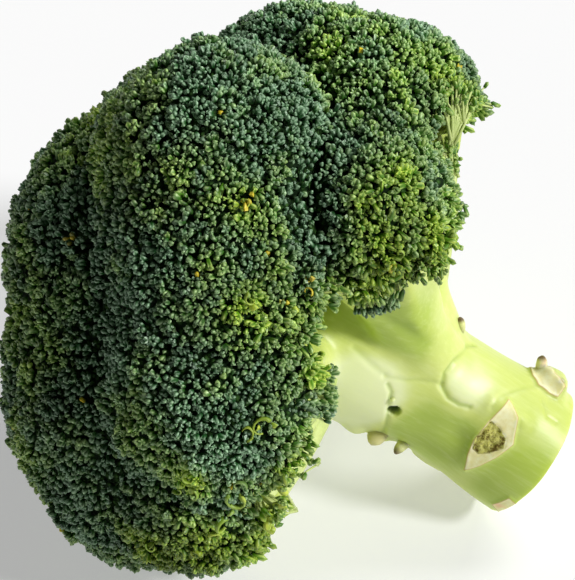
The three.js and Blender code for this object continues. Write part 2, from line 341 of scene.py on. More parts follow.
# Small nubs: the middle, the way they point, the radius, the length, how dark the tip is and how like a scar
# the whole nub is.
NUBS = [
    ((17.6, 4.2, -21.6), (0.62, 0.3, 0.6), 1.1, 2.1, 1.0, 0.2),
    ((-10.6, -12.6, -19.4), (-0.65, -0.7, 0.2), 2.3, 3.4, 0.35, 0.3),
    ((-9.0, -12.9, -25.6), (-0.7, -0.7, 0.25), 1.5, 3.3, 0.8, 0.2),
    ((17.4, 7.6, -44.6), (0.75, 0.35, 0.5), 1.5, 2.3, 0.8, 0.8),
    ((17.0, 6.6, -46.8), (0.7, 0.6, 0.0), 1.3, 1.5, 0.0, 1.0),
    ((17.6, 4.8, -50.2), (0.7, 0.5, -0.3), 1.4, 1.3, 0.0, 1.0),
    ((4.6, -16.9, -14.6), (0.3, -1, 0.2), 0.6, 0.8, 0.0, 0.0),
]

# Where the crown's outline swells out or is drawn in: the middle, how far it reaches and how much.
SWELLS = [
    ((67, -4, 6), 9, -4.5),
    ((56, -3, 5), 9, -3),
    ((65, -19, 8), 6, -1.5),
    ((56, -29, 1), 8, 2),
    ((59.5, 34.5, 33), 9, -3),
    ((54, 40, 36), 5, -0.9),
    ((65.5, 29, 29), 5, -0.8),
    ((36.5, -2, 76.5), 4, -1.4),
    ((-47, -48, 46.5), 5, -1.2),
    ((-24, -28, 72), 6, -0.6),
    ((-57.5, -42, 39), 4, -0.6),
    ((-35, -50.5, -2), 5, -0.8),
    ((56, -15, -1.5), 4, 1),
    ((63.5, 33.5, 20), 7, -1.2),
    ((62, 28, 8), 6, -1.6),
    ((51, 39, 46), 6, -0.8),
    ((-20, -26, 74.5), 7, -1.9),
    ((-11, -20, 81), 5, -1),
    ((11.5, 1.5, 83.5), 5, 1.5),
    ((18, 7, 80.5), 4, 1.2),
    ((40, -7, 77), 4, -1.2),
    ((51, 1, 71.5), 4, 0.8),
    ((37.5, 34, 59.5), 5, -1),
    ((-52, -53.8, 16.4), 6, 3),
    ((-56, -50, 27), 5, 1),
    ((-52.5, -45, 42), 6, -1.7),
    ((-29, -53, -2), 8, -3),
    ((-35, -57, 3), 5, -0.6),
    ((62.8, -5.4, 51.9), 2.4, -3),
    ((41.1, -50.2, 49.4), 2.0, -3),
    ((62.5, -23.1, 32.2), 2.0, -2.5),
]

# Where the buds hang down further over the branches: the middle, the reach and how far.
HANGS = [
    ((21, -46, 4.5), 6, 9),
    ((27, -43.6, 9), 4, 3),
    ((-5, -55.7, 0), 5.5, 6),
    ((34, -30, 6), 7, 11),
    ((41, -32.5, 6), 6, 4),
    ((54, -30, 1), 5, 2),
    ((-30, 40, 2), 7, 5),
    ((10, 52, 4), 7, 4),
    ((30, 40, 5), 6, 5),
]

# Where a branch stays smooth, with no thin branches on it: the middle and the reach.
SMOOTH_BRANCHES = [
    ((46, -24, 4), 18),
]

# Where the buds are more lime green, or with a minus sign bluer: the middle, the reach and how much.
LIME_ZONES = [
    ((59.4, -32.2, 19.3), 10.1, 0.5),
    ((66.5, -22.7, 20.6), 8.4, 0.4),
    ((46.0, -35.5, 11.4), 7.2, 0.6),
    ((59.7, -27.0, 6.2), 6.0, 0.5),
    ((69.5, 12.8, 15.2), 5.3, 0.45),
    ((70.0, 13.3, 31.3), 6.7, 0.25),
    ((60.6, 12.3, 44.1), 6.7, 0.25),
    ((51.4, -40.7, 48.1), 3.8, 0.6),
    ((49.8, -40.5, 55.2), 2.4, 0.4),
    ((57.5, -30.4, 43.3), 4.3, 0.35),
    ((46.5, -45.5, 33.9), 5.3, 0.35),
    ((37.2, -54.1, 36.4), 4.8, 0.3),
    ((39.2, -51.9, 48.2), 4.3, 0.3),
    ((43.1, -40.6, 63.4), 7.2, 0.25),
    ((25.5, -31.8, 73.3), 2.9, 0.4),
    ((37.4, -33.4, 72.4), 5.3, 0.25),
    ((48.1, -24.7, 74.4), 4.8, 0.2),
    ((-31.9, -64.6, 18.9), 8.4, 0.7),
    ((-18.1, -64.7, 9.3), 7.2, 0.7),
    ((-35.4, -60.0, 33.0), 5.3, 0.3),
    ((-1.8, -68.5, 24.1), 3.8, 0.45),
    ((20.3, -63.1, 18.4), 6.2, 0.5),
    ((3.9, -62.9, 7.6), 5.8, 0.7),
    ((-33.5, -49.8, 58.8), 3.8, 0.3),
    ((28.1, -48.4, 11.8), 3.4, 0.3),
    ((22.3, -63.4, 33.7), 2.9, 0.25),
    ((62.3, -10.3, 43.2), 7.2, -0.5),
    ((55.9, -23.6, 69.0), 5.3, -0.35),
    ((60.3, -26.8, 55.6), 7.2, -0.2),
    ((50.1, -35.7, 28.2), 5.3, -0.35),
    ((25.5, -50.5, 58.4), 7.2, -0.3),
    ((15.5, -67.4, 31.8), 10.8, -0.4),
    ((7.1, -53.8, 53.8), 7.2, -0.3),
    ((-13.9, -53.7, 55.6), 6.0, -0.25),
    ((-13.0, -60.3, 41.0), 7.2, -0.2),
    ((22, 0, 79), 9, 0.45),
    ((10, -14, 82), 8, 0.35),
    ((-2, -22, 81), 8, 0.3),
    ((-16, -32, 74), 8, 0.3),
    ((45, -14, 77), 8, 0.3),
    ((30, -21, 77), 8, 0.25),
    ((-48, -42, 50), 8, 0.3),
    ((63, 26, 38), 9, 0.25),
    ((34, -31, 8), 8, -0.25),
    ((-32.4, -64.2, 16.1), 6, 0.4),
    ((-22.8, -64.5, 8), 6, 0.5),
    ((-46, -56, 20), 6, 0.4),
    ((-7, -58.5, 2), 6, 0.8),
    ((10, -62, 9), 4, 0.4),
    ((-2, -68, 24.5), 4.5, 0.7),
    ((-16, -58.4, -0.3), 5, 0.6),
    ((14, -59, 7.5), 5, 0.6),
]

# Where the buds are paler, or with a minus sign darker: partly the pale waxy bloom, and partly painted light
# where the crown faces the light and painted shade where it faces away. The middle, the reach and how much.
BLOOM_AND_LIGHT_ZONES = [
    ((5, -68.5, 27), 14, 0.35),
    ((62, 14, 38), 14, 0.65),
    ((58, -22, 68), 9, 0.15),
    ((44, 34, 56), 20, 0.36),
    ((64, 24, 28), 13, 0.2),
    ((45, -3, 71), 14, 0.34),
    ((10, -12, 82), 16, 0.2),
    ((-26, -58, 46), 12, -0.15),
    ((-30, -62, 12), 14, -0.5),
    ((50, -33, 10), 12, -0.25),
]

# Where the edge is bare, so that the thin stems show: the middle and the reach.
BARE_PATCHES = [
    ((66.8, 10.5, 12), 4.2),
    ((63.5, 4, 11), 3.6),
    ((-3, -59.5, 3), 4.5),
    ((-20, 56, 4), 6),
]

# Stems that stand by themselves: where they leave the branch, where their buds are, how thick, how many buds.
SPRAYS = [
    ((61.5, 3.5, 10), [(68.6, 9.0, 18.6), (69.2, 10.2, 17.6), (69.5, 11.2, 16.4), (69.5, 12.2, 15.4),
                       (69.3, 13.1, 14.4), (68.9, 14.0, 13.4), (68.5, 14.9, 12.2), (68.0, 15.7, 11.0),
                       (67.4, 16.4, 9.8), (66.7, 17, 8.6), (65.8, 17.4, 7.4)], 0.34, 3),
    ((63.5, 9, 9), [(67.6, 7.6, 16.2), (68.4, 8.8, 14.2), (68.2, 10.6, 12.6), (67.6, 12.2, 11.2),
                    (66.6, 13.4, 9.4)], 0.3, 2),
    ((63, 20, 8.5), [(66.8, 22.8, 7.4), (64.6, 21.6, 2.6)], 0.22, 1),
    ((66, 15.5, 8.5), [(65.8, 18.2, 4.2)], 0.24, 2),
    ((55, -11.5, 1.6), [(58.8, -9.2, 5.6)], 0.2, 1),
    ((54.6, -12.2, 0.2), [(57, -11, 2.6)], 0.26, 2),
    ((-9, -51, -3.5), [(-3.5, -60.4, 1.2), (0.5, -61, 3.4), (-7.5, -59.2, 0.6), (4.5, -61.4, 5),
                       (-1.5, -61.2, 3)], 0.3, 5),
    ((8, -52, 0), [(13.5, -58.6, 3.6), (10.4, -60.6, 4.2)], 0.25, 5),
    ((53, 6, 3.5), [(58.6, 3.5, 8), (58, 6, 8.4), (57.2, 8.5, 8.8), (56.8, 10.5, 8.6), (56, 9, 6.6),
                    (56.6, 6.5, 6), (57.4, 4.4, 5.6), (57.6, 1.8, 5.8), (55.4, 11.4, 6.8)], 0.34, 4),
]

# Curled bracts: the middle, the radius, the turn, how lime and how ripe.
CURLS = [
    ((-0.3, -68.7, 25.3), 1.9, 0.4, 1.0, 0),
    ((-7.1, -67.2, 24.9), 1.2, 2.2, 0.9, 0),
    ((-5.2, -67.3, 22.1), 1.8, 3.6, 0.9, 0),
    ((-2.7, -64.9, 12.4), 2.7, 1.2, 0.9, 0),
    ((3.1, -66.5, 14.7), 1.6, 5.0, 0.5, 0),
    ((-12.5, -64.3, 10.8), 2.1, 0.9, 1.0, 0),
    ((-16.4, -64.5, 11.0), 2.0, 3.1, 1.0, 0.1),
    ((-8.1, -64.1, 11.3), 1.3, 2.6, 0.8, 0),
    ((19.4, -63.9, 19.2), 2.3, 0.2, 1.0, 0.05),
    ((17.0, -65.3, 21.2), 1.8, 4.0, 1.0, 0.1),
    ((44.9, -43.0, 27.0), 1.1, 1.8, 0.8, 1),
    ((42.9, -44.8, 25.8), 1.1, 4.9, 0.8, 0.9),
    ((-29, -65.1, 20.3), 1.3, 2.0, 0.9, 0),
    ((-24, -64.9, 11), 1.5, 5.5, 1.0, 0.15),
    ((-40, -59, 19), 1.4, 0.5, 0.9, 0),
    ((-46, -54, 18), 1.4, 3.5, 0.9, 0),
    ((51.4, -40.7, 48.1), 1.3, 3.4, 1.0, 0.2),
    ((39.6, -52.9, 36.6), 1.5, 1.4, 0.9, 0.1),
    ((56, -34, 13), 1.4, 2.9, 0.9, 0),
    ((-20, 60, 22), 1.5, 1.0, 0.8, 0),
    ((12, 66, 30), 1.5, 3.0, 0.8, 0),
    ((-48, 34, 50), 1.4, 5.0, 0.7, 0),
]

# Where single buds have turned yellow: the middle and the reach.
RIPE_SPOTS = [
    ((51.4, -40.7, 48.1), 2.2),
    ((10.8, -33.5, 72.2), 1.4),
    ((44.3, -44.1, 26.3), 1.5),
    ((53.1, -34.3, 12.3), 1.5),
    ((69.7, 8.8, 21.6), 1.2),
    ((56.4, -25.0, 0.9), 1.6),
    ((40.6, -48.4, 29.5), 1.4),
]

# Curled little leaves among the buds: the middle, the length, how they lean sideways and how pale they are.
LEAFLETS = [
    ((-3.7, -68.0, 23.2), 3.4, 0.6, 0.2),
    ((-5.2, -67.6, 21.2), 2.8, -0.5, 0.1),
    ((-1.4, -65.3, 12.3), 3.6, 0.9, 0.3),
    ((19.1, -64.2, 18.9), 3.0, 0.2, 0.9),
    ((20.8, -63.0, 17.4), 2.6, -0.8, 0.3),
    ((40.6, -48.4, 27.1), 3.4, 1.0, 0.6),
    ((38.3, -53.2, 35.8), 3.6, -0.9, 0.8),
    ((-29.0, -65.1, 20.3), 3.0, 0.3, 0.2),
    ((51.0, -41.2, 49.0), 3.0, 0.4, 0.2),
    ((3.4, -61.5, 5.6), 4.6, 0.8, 0.9),
    ((-2.0, -61.8, 3.4), 5.0, -0.6, 1.0),
    ((-6.6, -60.6, 1.8), 4.6, 0.5, 0.9),
    ((-11.0, -59.8, 0.8), 4.0, -0.8, 0.7),
]


class Wire:
    """A socket that can be added, multiplied and so on, which adds the Math nodes for it."""

    def __init__(self, graph, socket):
        self.graph = graph
        self.socket = socket

    def math(self, operation, *others, swap=False):
        values = [self, *others]
        if swap:
            values.reverse()
        return self.graph.add("ShaderNodeMath", {"operation": operation}, dict(enumerate(values)))

    def __add__(self, other):
        return self.math("ADD", other)

    def __sub__(self, other):
        return self.math("SUBTRACT", other)

    def __rsub__(self, other):
        return self.math("SUBTRACT", other, swap=True)

    def __mul__(self, other):
        return self.math("MULTIPLY", other)

    __radd__ = __add__
    __rmul__ = __mul__


class Graph:
    """The nodes of one material."""

    def __init__(self, name):
        self.material = bpy.data.materials.new(name)
        self.material.use_nodes = True
        self.tree = self.material.node_tree
        self.shader = self.tree.nodes["Principled BSDF"]

    def add(self, kind, settings=None, sockets=None, out=0):
        node = self.tree.nodes.new(kind)
        for name, value in (settings or {}).items():
            setattr(node, name, value)
        self.fill(node, sockets or {})
        return Wire(self, node.outputs[out])

    def fill(self, node, sockets):
        for name, value in sockets.items():
            socket = node.inputs[name]
            if isinstance(value, Wire):
                self.tree.links.new(value.socket, socket)
            elif socket.type == "RGBA":
                socket.default_value = (*value, 1)
            else:
                socket.default_value = value

    def attribute(self, name, out="Fac"):
        return self.add("ShaderNodeAttribute", {"attribute_name": name}, out=out)

    def channels(self, wire):
        split = self.add("ShaderNodeSeparateColor", sockets={"Color": wire}).socket.node
        return [Wire(self, split.outputs[k]) for k in range(3)]

    def place(self):
        return self.add("ShaderNodeTexCoord", out="Object")

    def noise(self, scale, detail=2, rough=0.5, place=None):
        values = {"Vector": place or self.place(), "Scale": scale, "Detail": detail, "Roughness": rough}
        return self.add("ShaderNodeTexNoise", sockets=values)

    def along(self, squeeze):
        """Object places turned to the stalk's own direction and squeezed along it, for streaks."""
        values = {"Vector": self.place(), "Rotation": (0, math.radians(LYING_TILT), 0)}
        upright = self.add("ShaderNodeMapping", {"vector_type": "POINT"}, values)
        values = {0: upright, 1: (1, 1, squeeze)}
        return self.add("ShaderNodeVectorMath", {"operation": "MULTIPLY"}, values)

    def mix(self, factor, first, second, blend="MIX"):
        values = {0: factor, 6: first, 7: second}
        return self.add("ShaderNodeMix", {"data_type": "RGBA", "blend_type": blend}, values, out=2)

    def smooth(self, value, low, high):
        values = {"Value": value, "From Min": low, "From Max": high}
        return self.add("ShaderNodeMapRange", {"interpolation_type": "SMOOTHSTEP"}, values)

    def bump(self, height, strength, distance, **under):
        values = {"Height": height, "Strength": strength, "Distance": distance, **under}
        return self.add("ShaderNodeBump", sockets=values)

    def finish(self, **sockets):
        named = {name.replace("_", " "): value for name, value in sockets.items()}
        self.fill(self.shader, named)
        return self.material


def srgb(red, green, blue):
    """A colour as it looks in a picture, from 0 to 255, as the light that a shader wants."""
    return tuple(((c / 255 + 0.055) / 1.055) ** 2.4 if c > 10 else c / 3295 for c in (red, green, blue))


def bud_finish():
    graph = Graph("bud skin")
    tone, lime, tip = graph.channels(graph.attribute("bud", "Color"))
    ripe = graph.attribute("ripe")
    dark = graph.mix(lime, srgb(32, 82, 36), srgb(90, 140, 8))
    paleness = graph.mix(lime, srgb(156, 190, 156), srgb(202, 224, 92))
    # Painted light and shade: a bud is dark at its base and grooves as painted shade, and pale at its tip and
    # ridges, partly wax bloom and partly a painted highlight.
    skin = graph.mix(graph.smooth(tip, 0.1, 1.0), dark, paleness)
    skin = graph.mix(ripe, skin, srgb(222, 200, 52))
    # The paleness lightens or darkens the colour, partly as painted light and painted shade from the zones.
    shade = graph.mix(tone, (0.44, 0.46, 0.44), (1.42, 1.4, 1.34))
    skin = graph.mix(1.0, skin, shade, "MULTIPLY")
    return graph.finish(Base_Color=skin, Roughness=0.5 - 0.12 * tone, Specular_IOR_Level=0.5)


def core_painted_shade_finish():
    graph = Graph("deeper buds in painted shade")
    # Painted shade and light: a dark sheet for the shade between the buds, with the round top of each small
    # cell painted lighter as if lit.
    cell = graph.add("ShaderNodeTexVoronoi", sockets={"Vector": graph.place(), "Scale": 720})
    lit_round_top = graph.smooth(cell, 0.75, 0.1)
    skin = graph.mix(lit_round_top, srgb(10, 28, 8), srgb(54, 88, 36))
    return graph.finish(
        Base_Color=skin,
        Roughness=0.8,
        Specular_IOR_Level=0.1,
        Normal=graph.bump(lit_round_top, 1.0, 0.0008),
    )


def stem_finish():
    graph = Graph("thin pale stems")
    tone, _, _ = graph.channels(graph.attribute("bud", "Color"))
    fleck = graph.noise(300, 3)
    pale = graph.smooth(0.7 * tone + 0.6 * fleck, 0.25, 0.95)
    skin = graph.mix(pale, srgb(128, 158, 60), srgb(208, 220, 142))
    return graph.finish(Base_Color=skin, Roughness=0.4 + 0.2 * fleck, Normal=graph.bump(fleck, 0.2, 0.0004))


def stalk_finish():
    graph = Graph("stalk skin")
    pale, fold, scar = graph.channels(graph.attribute("skin", "Color"))
    rough, cut, tip = graph.channels(graph.attribute("marks", "Color"))
    cloud = graph.noise(40, 4, 0.6)
    fine = graph.noise(170, 3, 0.6)
    level = pale + 0.45 * (cloud - 0.5) + 0.2 * (fine - 0.5)
    streaks = graph.noise(900, 3, 0.6, place=graph.along(0.12))
    skin = graph.mix(graph.smooth(level, 0.0, 0.5), srgb(176, 197, 80), srgb(207, 218, 123))
    skin = graph.mix(graph.smooth(level, 0.4, 0.95), skin, srgb(232, 239, 186))
    skin = graph.mix(0.14 * graph.smooth(streaks, 0.42, 0.75), skin, srgb(240, 246, 190))
    # Painted shade: the skin darker green along the folds.
    skin = graph.mix(0.7 * graph.smooth(fold, 0.1, 1.0), skin, srgb(162, 186, 66))
    fibres = graph.noise(260, 4, 0.7)
    flesh = graph.mix(graph.smooth(fibres, 0.35, 0.65), srgb(242, 240, 196), srgb(232, 224, 160))
    flesh = graph.mix(graph.smooth(graph.noise(150, 2), 0.55, 0.7), flesh, srgb(240, 202, 160))
    skin = graph.mix(graph.smooth(scar, 0.35, 0.65), skin, flesh)
    edge = graph.smooth(scar, 0.1, 0.45) * (1 - graph.smooth(scar, 0.5, 0.9))
    skin = graph.mix(0.6 * edge, skin, srgb(200, 158, 104))
    crust = graph.noise(620, 4, 0.7)
    bark = graph.mix(graph.smooth(crust, 0.36, 0.58), srgb(104, 88, 24), srgb(206, 204, 112))
    skin = graph.mix(graph.smooth(rough, 0.3, 0.7), skin, bark)
    skin = graph.mix(graph.smooth(tip, 0.2, 0.9), skin, srgb(96, 78, 46))
    pith = graph.mix(graph.smooth(fibres, 0.3, 0.7), srgb(230, 238, 186), srgb(206, 224, 140))
    skin = graph.mix(cut, skin, pith)
    # Painted shade: the insides of the holes are dark green.
    skin = graph.mix(graph.attribute("hole"), skin, srgb(30, 88, 34))
    dull = graph.smooth(scar, 0.3, 0.7) + graph.smooth(rough, 0.3, 0.7) + graph.attribute("hole")
    lines = graph.bump(streaks, 0.08, 0.0005)
    grain = graph.bump(crust * graph.smooth(rough, 0.3, 0.7), 0.8, 0.0012, Normal=lines)
    return graph.finish(
        Base_Color=skin,
        Roughness=0.34 + 0.16 * cloud + 0.3 * dull,
        Specular_IOR_Level=0.45,
        Subsurface_Weight=0.4,
        Subsurface_Radius=(1.0, 1.0, 0.4),
        Subsurface_Scale=0.005,
        Normal=grain,
    )


def unit(rows):
    return rows / np.linalg.norm(rows, axis=-1, keepdims=True)


def turn_to(facing):
    """The turn that takes what stands up to a facing."""
    return Vector((0, 0, 1)).rotation_difference(Vector(facing)).to_matrix()


def spiral(count, facing):
    """Directions spread evenly over a ball in a sunflower spiral about a facing."""
    step = np.arange(count)
    angle = step * math.pi * (3 - math.sqrt(5))
    height = 1 - (2 * step + 1) / count
    ring = np.sqrt(1 - height**2)
    rows = np.stack([ring * np.cos(angle), ring * np.sin(angle), height], 1)
    return rows @ np.array(turn_to(facing)).T


def to_world(places):
    return places @ turned.T + np.array(rim)


def to_local(places):
    """Places in metres in the frame, as places in mm in the head's own frame."""
    return (np.array(places) / MM - np.array(rim)) @ turned


def local_places(bm):
    return to_local([vert.co for vert in bm.verts])


def in_metres(place):
    """A place in the head's own frame, as one in metres in the frame."""
    return Vector(to_world(np.array([place]))[0]) * MM


names = list(FLORETS)
centres = np.array([FLORETS[name][0] for name in names], float)
radii = np.array([FLORETS[name][1] for name in names], float)
lobes = [FLORETS[name][4] for name in names]


def run_together(first, second):
    if first == second:
        return RUN_IN_LOBE
    return RUN_BESIDE if {first, second} == {"left", "middle"} else RUN_APART


runs = np.array([[run_together(first, second) for second in lobes] for first in lobes], float)


def smooth_step(values, low, high):
    share = np.clip((values - low) / (high - low), 0, 1)
    return share * share * (3 - 2 * share)


def near(places, middle, reach):
    """How near each place is to a middle: 1 there, and fading to 0 beyond the reach."""
    return np.exp(-(((places - np.array(middle, float)) ** 2).sum(1)) / reach**2)


def zoned(places, zones):
    """What the zones add up to at each place."""
    return sum(amount * near(places, middle, reach) for middle, reach, amount in zones)


def near_any(places, spots):
    """How near each place is to any of the spots."""
    return sum(near(places, middle, reach) for middle, reach in spots)


def lime_patches(place):
    """A slow random value over the crown."""
    total = 0
    for size, start, amount in LIME_PATCHES:
        total += amount * (0.5 + 0.5 * noise.noise(Vector(place) / size + Vector((start, start, start))))
    return total


def depths(places):
    """How far each place is outside each floret's own ball."""
    away = places[:, None, :] - centres
    distance = np.linalg.norm(away, axis=2)
    way = away / distance[..., None]
    phase = np.arange(len(names))
    wave = np.sin(5 * way[..., 0] + phase) + np.sin(6 * way[..., 1] + 2 * phase) + np.sin(5 * way[..., 2])
    return distance - radii * (1 + SWELL * wave / 3)


def crown_depth(places, index):
    """How far each place is outside the crown: the floret's ball, run together with its neighbours'."""
    every = depths(places)
    own = every[:, index]
    run = np.clip(runs[index] - np.abs(every - own[:, None]), 0, None) ** 2 / (4 * runs[index])
    run[:, index] = 0
    return own - RUN_MOST * np.tanh(run.sum(1) / RUN_MOST) - zoned(places, SWELLS)


def crown_surface(rows, index):
    """Places on the crown in these directions from a floret's centre, and how the crown faces there."""
    reach = np.full(len(rows), radii[index])
    for _ in range(4):
        reach -= crown_depth(centres[index] + rows * reach[:, None], index)
    places = centres[index] + rows * reach[:, None]
    step = 0.2
    slopes = []
    for axis in step * np.eye(3):
        slopes.append(crown_depth(places + axis, index) - crown_depth(places - axis, index))
    return places, unit(np.stack(slopes, 1))


def fan_out(rows, middles, amount):
    """How much each bud leans away from the middle of its group."""
    outward = rows - middles
    return amount[:, None] * outward / np.maximum(np.linalg.norm(outward, axis=1, keepdims=True), 1e-6)


class Groups:
    """Buds gathered around scattered centres, in directions from a floret's middle."""

    def __init__(self, floret, pitch, uneven):
        random = floret.random
        rows = spiral(floret.spiral_count(pitch), floret.facing)
        self.middles = unit(rows + random.normal(0, GROUP_JITTER * pitch / floret.radius, rows.shape))
        self.radius = floret.radius
        self.weights = random.uniform(-GROUP_WEIGHT, GROUP_WEIGHT, len(rows)) * pitch
        self.rise, self.tone, self.size = random.uniform(-1, 1, (3, len(rows)))
        self.rise *= uneven

    def find(self, rows):
        """The nearest middle to each direction, how far off it is, and how far off the border is."""
        away = np.arccos(np.clip(rows @ self.middles.T, -1, 1)) * self.radius - self.weights
        order = np.argsort(away, axis=1)[:, :2]
        first, second = np.take_along_axis(away, order, 1).T
        return order[:, 0], first, second - first


class Floret:
    """One floret's buds: where they are, how they lean and how they look."""

    def __init__(self, node, index):
        self.node = node
        self.index = index
        place, self.radius, self.depth, self.hub, _ = FLORETS[node]
        self.centre = np.array(place, float)
        self.facing = unit(self.centre - np.array([0, 0, self.hub]))
        self.random = np.random.default_rng(SEED + index)
        self.clusters = Groups(self, CLUSTER_PITCH, CLUSTER_UNEVEN)
        self.clumps = Groups(self, CLUMP_PITCH, CLUMP_UNEVEN)

    def spiral_count(self, pitch):
        return round(4 * math.pi * self.radius**2 / (0.866 * pitch**2))

    def rim_height(self, places):
        """How far places are above the edge where the buds end."""
        return (places - self.centre) @ self.facing + self.depth * self.radius + zoned(places, HANGS)

    def scatter(self):
        """Where the buds are and which way they point."""
        random = self.random
        rows = spiral(self.spiral_count(BUD_PITCH), self.facing)
        rows = unit(rows + random.normal(0, BUD_JITTER * BUD_PITCH / self.radius, rows.shape))
        clump, _, _ = self.clumps.find(rows)
        rows = unit(rows + CLUMP_PULL * (self.clumps.middles[clump] - rows))
        places, normals = crown_surface(rows, self.index)
        cluster, off, border = self.clusters.find(rows)
        ragged = self.clusters.tone[cluster] * RIM_RAGGED
        keep = depths(places).argmin(1) == self.index
        keep &= self.rim_height(places) > ragged - RIM_WRAP * random.uniform(*RIM_WRAPS, len(rows))
        keep &= near_any(places, BARE_PATCHES) < random.uniform(*BARE_EDGE, len(rows))
        rows, places, normals, clump = rows[keep], places[keep], normals[keep], clump[keep]
        cluster, off, border = cluster[keep], off[keep], border[keep]
        _, clump_off, _ = self.clumps.find(rows)
        rise = CLUSTER_RISE * (smooth_step(border, 0, CLUSTER_CREASE) - CLUSTER_LEVEL) - BUD_SINK
        rise += self.clusters.rise[cluster] + self.clumps.rise[clump]
        rise += random.uniform(-BUD_UNEVEN, BUD_UNEVEN, len(rows))
        rise -= CLUMP_DOME * (clump_off / CLUMP_PITCH) ** 2
        facing = normals + fan_out(rows, self.clusters.middles[cluster], CLUSTER_FAN * off / CLUSTER_PITCH)
        facing += fan_out(rows, self.clumps.middles[clump], CLUMP_FAN * clump_off / CLUMP_PITCH)
        facing = unit(facing + random.normal(0, BUD_LEAN, facing.shape))
        self.rim = np.clip(1 - self.rim_height(places) / RIM_BAND, 0, 1)
        self.facings = unit(facing - RIM_DROOP * self.rim[:, None] * self.facing)
        self.places = places + normals * rise[:, None]
        self.cluster = cluster
        self.clump = clump

    def colour(self):
        """How lime, how ripe and how pale the buds are, and which are about to open."""
        random = self.random
        places = self.places
        count = len(places)
        cluster_tone = self.clusters.tone[self.cluster]
        lime = np.array([lime_patches(place) for place in places]) - LIME_LEVEL
        lime += LIME_BY_ZONE * zoned(places, LIME_ZONES)
        lime += LIME_BY_CLUSTER * cluster_tone + LIME_BY_CLUMP * self.clumps.tone[self.clump]
        lime += LIME_AT_RIM * self.rim + random.uniform(-LIME_UNEVEN, LIME_UNEVEN, count)
        self.lime = np.clip(lime, 0, 1)
        ripe = near_any(places, RIPE_SPOTS) > random.uniform(*RIPE_EDGE, count)
        ripe = ripe * random.uniform(*RIPE_AMOUNTS, count)
        self.ripe = np.maximum(ripe, random.uniform(0, 1, count) < RIPE_SHARE)
        # The paleness includes painted light and painted shade from the zones.
        self.tone = TONE_LEVEL + TONE_BY_CLUSTER * cluster_tone + zoned(places, BLOOM_AND_LIGHT_ZONES)
        self.tone += random.uniform(-TONE_UNEVEN, TONE_UNEVEN, count)
        self.open = random.uniform(0, 1, count) < OPEN_SHARE * (OPEN_LEAST + OPEN_BY_LIME * self.lime)

    def branch_place(self, share):
        """A place on the middle line of the floret's branch, which leaves the stalk upwards and bends out."""
        start = np.array([0, 0, self.hub], float)
        collar = self.centre - self.facing * self.depth * self.radius
        lift = BRANCH_LIFT_SIDE if self.hub == HUB_SIDE else BRANCH_LIFT
        bend = start + np.array([0, 0, lift * np.linalg.norm(collar - start)])
        return (1 - share) ** 2 * start + 2 * share * (1 - share) * bend + share**2 * collar

    def stem_root(self, cluster):
        """Where the stems of a cluster at the rim leave the end of the branch."""
        across = self.clusters.middles[cluster] - self.facing * (self.clusters.middles[cluster] @ self.facing)
        across /= max(np.linalg.norm(across), 0.3)
        below = self.depth * self.radius + STEM_ROOT_DEPTH
        return self.centre - self.facing * below + across * self.radius * STEM_ROOT_OUT


class Stamp:
    """A small mesh copied many times into one piece, each copy with its own place, turn and values."""

    def __init__(self, name, bm, paleness, smooth=True, finish=0):
        for face in bm.faces:
            face.smooth = smooth
            face.material_index = finish
        self.mesh = bpy.data.meshes.new(name)
        bm.to_mesh(self.mesh)
        bm.free()
        self.mesh.attributes.new("bud", "FLOAT_COLOR", "POINT")
        self.mesh.attributes.new("ripe", "FLOAT", "POINT")
        flat = np.zeros(len(self.mesh.vertices) * 3)
        self.mesh.vertices.foreach_get("co", flat)
        self.shape = flat.reshape(-1, 3)
        self.colour = np.ones((len(self.shape), 4))
        self.colour[:, 2] = paleness

    def put(self, bm, place, facing, spin, grow, tone, lime, ripe=0.0):
        """Adds one copy, at a place in the head's own frame."""
        turn = turn_to(facing) @ Matrix.Rotation(spin, 3, "Z")
        verts = to_world((self.shape * grow) @ np.array(turn).T + place)
        verts[:, 2] = np.maximum(verts[:, 2], 0)
        self.mesh.vertices.foreach_set("co", (verts * MM).ravel())
        self.colour[:, 0] = tone
        self.colour[:, 1] = lime
        self.mesh.attributes["bud"].data.foreach_set("color", self.colour.ravel())
        self.mesh.attributes["ripe"].data.foreach_set("value", np.full(len(self.shape), ripe))
        bm.from_mesh(self.mesh)


# The lower ring of a bud, where its base is drawn in: how far out its ridges and grooves are, and how low.
BASE_RIDGE = 0.86
BASE_GROOVE = 0.74
BASE_LOW = -0.45

# How pale a bud is at its tip and on its base; its ridges are all pale. The pale is partly wax bloom and
# partly a painted highlight; the darker base and grooves are painted shade.
TIP_PALENESS = 0.45
BASE_PALENESS = 0.05


def ball(segments, rings):
    bm = bmesh.new()
    bmesh.ops.create_uvsphere(bm, u_segments=segments, v_segments=rings, radius=1)
    return bm


def sepal_stamp(name, count, ridge, groove, tip, groove_paleness=0.1, smooth=False):
    """A bud that points up: a ball with its upper ring folded into sepals, ridge and groove in turn.

    A ridge and a groove are each given as how far out and how high they are.
    """
    bm = ball(2 * count, 3)
    paleness = []
    for vert in bm.verts:
        on_ridge = math.cos(count * math.atan2(vert.co.y, vert.co.x)) > 0
        high = vert.co.z > 0
        if abs(vert.co.z) > 0.99:
            paleness.append(TIP_PALENESS if high else 0)
            vert.co.z = tip if high else -1
            continue
        out, rise = ridge if on_ridge else groove
        if not high:
            out, rise = BASE_RIDGE if on_ridge else BASE_GROOVE, BASE_LOW
        vert.co.x *= out
        vert.co.y *= out
        vert.co.z = rise
        # Ridges pale, as wax bloom and a painted highlight; grooves and base darker, as painted shade.
        paleness.append((1 if on_ridge else groove_paleness) if high else BASE_PALENESS)
    return Stamp(name, bm, paleness, smooth)


